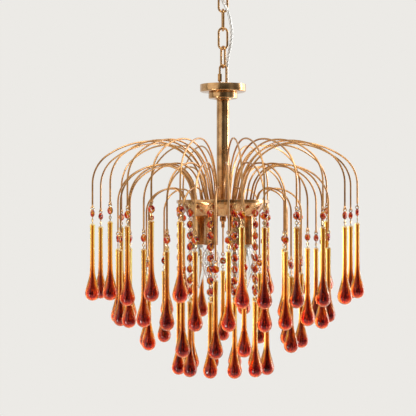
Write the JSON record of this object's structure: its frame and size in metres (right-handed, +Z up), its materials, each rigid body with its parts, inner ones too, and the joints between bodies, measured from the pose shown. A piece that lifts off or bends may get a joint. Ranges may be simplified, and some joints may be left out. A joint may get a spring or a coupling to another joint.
{
  "type": "crystal chandelier",
  "caption": "Chain-hung waterfall chandelier: tiers of bent brass wires with red amber glass drops round a brass drum with candle lamps.",
  "frame": {"origin": "on the ceiling plane, on the lamp axis, midway between the two fixing slots", "axes": "+Z up; the fixing slots and the ceiling bar lie along X; the picture looks along +Y"},
  "size_m": [0.5463, 0.5596, 0.8379],
  "materials": {
    "brushed_brass": "brushed, antiqued",
    "brass_wire": "satin, antiqued",
    "brass_chain": "satin, antiqued",
    "amber_red_glass": "clear glass, amber neck shading to ruby",
    "red_crystal": "cut crystal, red amber",
    "clear_glass": "clear lamp glass",
    "zinc_plated_steel": "zinc plated",
    "white_nylon": "moulded nylon",
    "black_bakelite": "moulded",
    "clear_cord": "clear sheath over tinned wires",
    "clear_gland": "clear plastic bush"
  },
  "bodies": {
    "ceiling": {"ceiling_bracket": "zinc_plated_steel", "ceiling_ring": "brushed_brass", "ring_lock_nut": "zinc_plated_steel", "terminal_block": "white_nylon"},
    "canopy": {"canopy": "brushed_brass", "canopy_screws": "brushed_brass"},
    "chain_link_1": {"chain_link_1": "brass_chain"},
    "chain_link_2": {"chain_link_2": "brass_chain"},
    "chain_link_3": {"chain_link_3": "brass_chain"},
    "chain_link_4": {"chain_link_4": "brass_chain"},
    "screw_link": {"screw_link": "brass_chain"},
    "screw_link_sleeve": {"screw_link_sleeve": "brass_chain"},
    "candle_lamp_1": {"candle_lamp_1": "clear_glass"},
    "candle_lamp_2": {"candle_lamp_2": "clear_glass"},
    "candle_lamp_3": {"candle_lamp_3": "clear_glass"},
    "candle_lamp_4": {"candle_lamp_4": "clear_glass"},
    "candle_lamp_5": {"candle_lamp_5": "clear_glass"},
    "candle_lamp_6": {"candle_lamp_6": "clear_glass"},
    "outer_pendant_01": {"outer_pendant_01": "amber_red_glass"},
    "outer_pendant_02": {"outer_pendant_02": "amber_red_glass"},
    "outer_pendant_03": {"outer_pendant_03": "amber_red_glass"},
    "outer_pendant_04": {"outer_pendant_04": "amber_red_glass"},
    "outer_pendant_05": {"outer_pendant_05": "amber_red_glass"},
    "outer_pendant_06": {"outer_pendant_06": "amber_red_glass"},
    "outer_pendant_07": {"outer_pendant_07": "amber_red_glass"},
    "outer_pendant_08": {"outer_pendant_08": "amber_red_glass"},
    "outer_pendant_09": {"outer_pendant_09": "amber_red_glass"},
    "outer_pendant_10": {"outer_pendant_10": "amber_red_glass"},
    "outer_pendant_11": {"outer_pendant_11": "amber_red_glass"},
    "outer_pendant_12": {"outer_pendant_12": "amber_red_glass"},
    "outer_pendant_13": {"outer_pendant_13": "amber_red_glass"},
    "outer_pendant_14": {"outer_pendant_14": "amber_red_glass"},
    "outer_pendant_15": {"outer_pendant_15": "amber_red_glass"},
    "outer_pendant_16": {"outer_pendant_16": "amber_red_glass"},
    "outer_pendant_17": {"outer_pendant_17": "amber_red_glass"},
    "outer_pendant_18": {"outer_pendant_18": "amber_red_glass"},
    "outer_pendant_19": {"outer_pendant_19": "amber_red_glass"},
    "outer_pendant_20": {"outer_pendant_20": "amber_red_glass"},
    "chandelier": {"candle_tubes": "brushed_brass", "centre_rod": "zinc_plated_steel", "collar_base": "brushed_brass", "collar_cup": "brushed_brass", "collar_loop": "brushed_brass", "cord_gland": "clear_gland", "drum_pan": "brushed_brass", "drum_plate": "brushed_brass", "finial": "brushed_brass", "fixed_pins": "brass_wire", "inner_beads": "red_crystal", "inner_drops": "amber_red_glass", "inner_wires": "brass_wire", "lampholders": "black_bakelite", "middle_wires": "brass_wire", "outer_wires": "brass_wire", "stem_bushes": "zinc_plated_steel", "stem_tube": "brushed_brass", "strand_beads": "red_crystal", "strand_drops": "amber_red_glass", "strand_hooks": "brass_wire", "supply_cord": "clear_cord"}
  },
  "joints": [
    {"name": "canopy_slide", "type": "slide", "parent": "ceiling", "child": "canopy", "axis": [0, 0, -1], "range_m": [0, 0.03]},
    {"name": "link_1_swing", "type": "hinge", "parent": "ceiling", "child": "chain_link_1", "pos_m": [0, 0, -0.0776], "axis": [0, 1, 0], "range_deg": [-4, 4], "deforming": ["supply_cord"]},
    {"name": "link_2_swing", "type": "hinge", "parent": "chain_link_1", "child": "chain_link_2", "pos_m": [0, 0, -0.1144], "axis": [1, 0, 0], "range_deg": [-4, 4], "deforming": ["supply_cord"]},
    {"name": "link_3_swing", "type": "hinge", "parent": "chain_link_2", "child": "chain_link_3", "pos_m": [0, 0, -0.1515], "axis": [-0.1045, 0.9945, 0], "range_deg": [-4, 4], "deforming": ["supply_cord"]},
    {"name": "link_4_swing", "type": "hinge", "parent": "chain_link_3", "child": "chain_link_4", "pos_m": [0, 0, -0.1886], "axis": [1, 0, 0], "range_deg": [-4, 4], "deforming": ["supply_cord"]},
    {"name": "screw_link_swing", "type": "hinge", "parent": "chain_link_4", "child": "screw_link", "pos_m": [0, 0, -0.2257], "axis": [-0.4226, 0.9063, 0], "range_deg": [-4, 4], "deforming": ["supply_cord"]},
    {"name": "lamp_swing", "type": "hinge", "parent": "screw_link", "child": "chandelier", "pos_m": [0, 0, -0.2618], "axis": [1, 0, 0], "range_deg": [-4, 4], "deforming": ["supply_cord"]},
    {"name": "sleeve_screw", "type": "slide", "parent": "screw_link", "child": "screw_link_sleeve", "axis": [0, 0, 1], "range_m": [0, 0.005]},
    {"name": "lamp_1_unscrew", "type": "slide", "parent": "chandelier", "child": "candle_lamp_1", "axis": [0, 0, -1], "range_m": [0, 0.028]},
    {"name": "lamp_2_unscrew", "type": "slide", "parent": "chandelier", "child": "candle_lamp_2", "axis": [0, 0, -1], "range_m": [0, 0.028]},
    {"name": "lamp_3_unscrew", "type": "slide", "parent": "chandelier", "child": "candle_lamp_3", "axis": [0, 0, -1], "range_m": [0, 0.028]},
    {"name": "lamp_4_unscrew", "type": "slide", "parent": "chandelier", "child": "candle_lamp_4", "axis": [0, 0, -1], "range_m": [0, 0.028]},
    {"name": "lamp_5_unscrew", "type": "slide", "parent": "chandelier", "child": "candle_lamp_5", "axis": [0, 0, -1], "range_m": [0, 0.028]},
    {"name": "lamp_6_unscrew", "type": "slide", "parent": "chandelier", "child": "candle_lamp_6", "axis": [0, 0, -1], "range_m": [0, 0.028]},
    {"name": "pendant_01_swing", "type": "hinge", "parent": "chandelier", "child": "outer_pendant_01", "pos_m": [-0.25393, -0.08251, -0.5072], "axis": [0.309, -0.9511, 0], "range_deg": [-8, 8]},
    {"name": "pendant_02_swing", "type": "hinge", "parent": "chandelier", "child": "outer_pendant_02", "pos_m": [-0.21407, -0.15957, -0.5022], "axis": [0.5976, -0.8018, 0], "range_deg": [-8, 8]},
    {"name": "pendant_03_swing", "type": "hinge", "parent": "chandelier", "child": "outer_pendant_03", "pos_m": [-0.17935, -0.19779, -0.5102], "axis": [0.7408, -0.6717, 0], "range_deg": [-8, 8]},
    {"name": "pendant_04_swing", "type": "hinge", "parent": "chandelier", "child": "outer_pendant_04", "pos_m": [-0.1335, -0.23123, -0.5002], "axis": [0.866, -0.5, 0], "range_deg": [-8, 8]},
    {"name": "pendant_05_swing", "type": "hinge", "parent": "chandelier", "child": "outer_pendant_05", "pos_m": [-0.08029, -0.25464, -0.5012], "axis": [0.9537, -0.3007, 0], "range_deg": [-8, 8]},
    {"name": "pendant_06_swing", "type": "hinge", "parent": "chandelier", "child": "outer_pendant_06", "pos_m": [0.03115, -0.26518, -0.5112], "axis": [0.9932, 0.1167, 0], "range_deg": [-8, 8]},
    {"name": "pendant_07_swing", "type": "hinge", "parent": "chandelier", "child": "outer_pendant_07", "pos_m": [0.0718, -0.25716, -0.5122], "axis": [0.9632, 0.2689, 0], "range_deg": [-8, 8]},
    {"name": "pendant_08_swing", "type": "hinge", "parent": "chandelier", "child": "outer_pendant_08", "pos_m": [0.13188, -0.23216, -0.5122], "axis": [0.8695, 0.4939, 0], "range_deg": [-8, 8]},
    {"name": "pendant_09_swing", "type": "hinge", "parent": "chandelier", "child": "outer_pendant_09", "pos_m": [0.18345, -0.194, -0.5122], "axis": [0.7266, 0.6871, 0], "range_deg": [-8, 8]},
    {"name": "pendant_10_swing", "type": "hinge", "parent": "chandelier", "child": "outer_pendant_10", "pos_m": [0.22982, -0.13591, -0.5112], "axis": [0.509, 0.8607, 0], "range_deg": [-8, 8]},
    {"name": "pendant_11_swing", "type": "hinge", "parent": "chandelier", "child": "outer_pendant_11", "pos_m": [0.2644, -0.03716, -0.5052], "axis": [0.1392, 0.9903, 0], "range_deg": [-8, 8]},
    {"name": "pendant_12_swing", "type": "hinge", "parent": "chandelier", "child": "outer_pendant_12", "pos_m": [0.26116, 0.05551, -0.5112], "axis": [-0.2079, 0.9781, 0], "range_deg": [-8, 8]},
    {"name": "pendant_13_swing", "type": "hinge", "parent": "chandelier", "child": "outer_pendant_13", "pos_m": [0.22057, 0.15046, -0.5012], "axis": [-0.5635, 0.8261, 0], "range_deg": [-8, 8]},
    {"name": "pendant_14_swing", "type": "hinge", "parent": "chandelier", "child": "outer_pendant_14", "pos_m": [0.16803, 0.2075, -0.5142], "axis": [-0.7771, 0.6293, 0], "range_deg": [-8, 8]},
    {"name": "pendant_15_swing", "type": "hinge", "parent": "chandelier", "child": "outer_pendant_15", "pos_m": [0.10002, 0.24756, -0.5152], "axis": [-0.9272, 0.3746, 0], "range_deg": [-8, 8]},
    {"name": "pendant_16_swing", "type": "hinge", "parent": "chandelier", "child": "outer_pendant_16", "pos_m": [0.01862, 0.26635, -0.5132], "axis": [-0.9976, 0.0698, 0], "range_deg": [-8, 8]},
    {"name": "pendant_17_swing", "type": "hinge", "parent": "chandelier", "child": "outer_pendant_17", "pos_m": [-0.08428, 0.25335, -0.5162], "axis": [-0.9489, -0.3156, 0], "range_deg": [-8, 8]},
    {"name": "pendant_18_swing", "type": "hinge", "parent": "chandelier", "child": "outer_pendant_18", "pos_m": [-0.15315, 0.21871, -0.5152], "axis": [-0.8192, -0.5736, 0], "range_deg": [-8, 8]},
    {"name": "pendant_19_swing", "type": "hinge", "parent": "chandelier", "child": "outer_pendant_19", "pos_m": [-0.21324, 0.16068, -0.5142], "axis": [-0.6018, -0.7986, 0], "range_deg": [-8, 8]},
    {"name": "pendant_20_swing", "type": "hinge", "parent": "chandelier", "child": "outer_pendant_20", "pos_m": [-0.25168, 0.08913, -0.5132], "axis": [-0.3338, -0.9426, 0], "range_deg": [-8, 8]}
  ]
}
